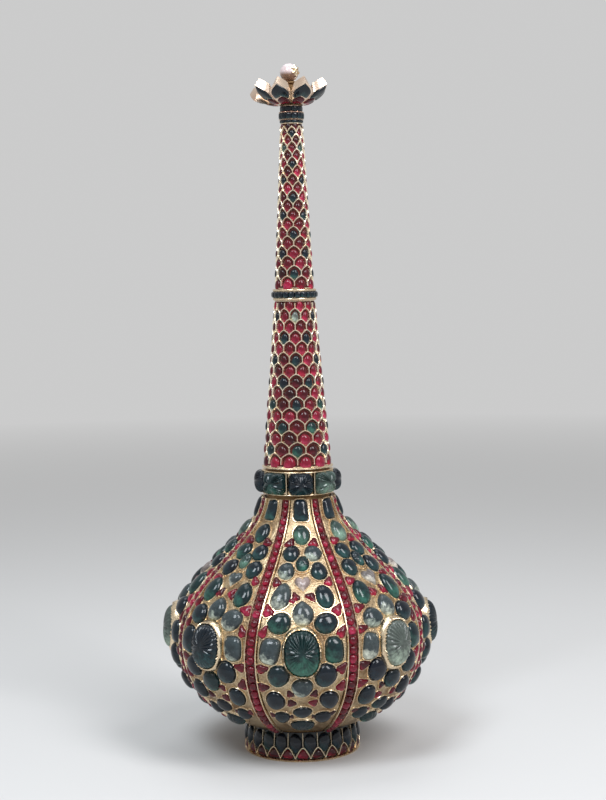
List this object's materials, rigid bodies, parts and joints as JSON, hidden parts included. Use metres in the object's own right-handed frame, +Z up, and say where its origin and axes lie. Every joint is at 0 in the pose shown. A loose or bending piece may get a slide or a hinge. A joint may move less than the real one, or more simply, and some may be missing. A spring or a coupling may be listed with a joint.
{
  "type": "rosewater sprinkler flask",
  "caption": "Free-standing jewelled gold sprinkler: onion-shaped flask on a foot ring, with a tall screw-on neck that ends in a pierced flower and a pearl.",
  "frame": {"origin": "centre of the foot ring's underside, on the surface the flask stands on", "axes": "+Z up along the neck; -Y towards the viewer, through the middle of the front panel; +X to the right"},
  "size_m": [0.1132, 0.1132, 0.2798],
  "materials": {
    "gold": "soft worn gold",
    "emerald": "polished carved stone",
    "ruby": "polished set stone",
    "pearl": "pearl lustre",
    "washer_leather": "dark oiled"
  },
  "bodies": {
    "flask_body": {"foot_ring": "gold", "base_plate": "gold", "lower_bowl": "gold", "upper_shell": "gold", "throat_tube": "gold", "jewel_panel_1": "gold", "jewel_panel_2": "gold", "jewel_panel_3": "gold", "jewel_panel_4": "gold", "jewel_panel_5": "gold", "jewel_panel_6": "gold", "jewel_panel_7": "gold", "jewel_panel_8": "gold", "carved_emerald_1": "emerald", "carved_emerald_2": "emerald", "carved_emerald_3": "emerald", "carved_emerald_4": "emerald", "carved_emerald_5": "emerald", "carved_emerald_6": "emerald", "carved_emerald_7": "emerald", "carved_emerald_8": "emerald", "ruby_strip_1": "ruby", "ruby_strip_2": "ruby", "ruby_strip_3": "ruby", "ruby_strip_4": "ruby", "ruby_strip_5": "ruby", "ruby_strip_6": "ruby", "ruby_strip_7": "ruby", "ruby_strip_8": "ruby", "collar_emerald_1": "emerald", "collar_emerald_2": "emerald", "collar_emerald_3": "emerald", "collar_emerald_4": "emerald", "collar_emerald_5": "emerald", "collar_emerald_6": "emerald", "collar_emerald_7": "emerald", "collar_emerald_8": "emerald", "collar_ring": "gold", "mouth_bush": "gold"},
    "washer": {"seal_washer": "washer_leather"},
    "neck": {"neck_spigot": "gold", "neck_lower": "gold", "mid_ring": "gold", "neck_upper": "gold", "top_ring": "gold", "sprinkler_rose": "gold", "petal_1": "gold", "petal_2": "gold", "petal_3": "gold", "petal_4": "gold", "petal_5": "gold", "petal_6": "gold", "petal_7": "gold", "petal_8": "gold", "pearl_pin": "gold", "pearl": "pearl"}
  },
  "joints": [
    {"name": "neck_turn", "type": "hinge", "parent": "flask_body", "child": "washer", "pos_m": [0, 0, 0.1165], "axis": [0, 0, 1], "range_deg": [0, 1080]},
    {"name": "neck_lift", "type": "slide", "parent": "washer", "child": "neck", "axis": [0, 0, 1], "range_m": [0, 0.009]}
  ],
  "couplings": [
    {"joint": "neck_lift", "follows": "neck_turn", "m_per_rad": 0.00047746}
  ]
}
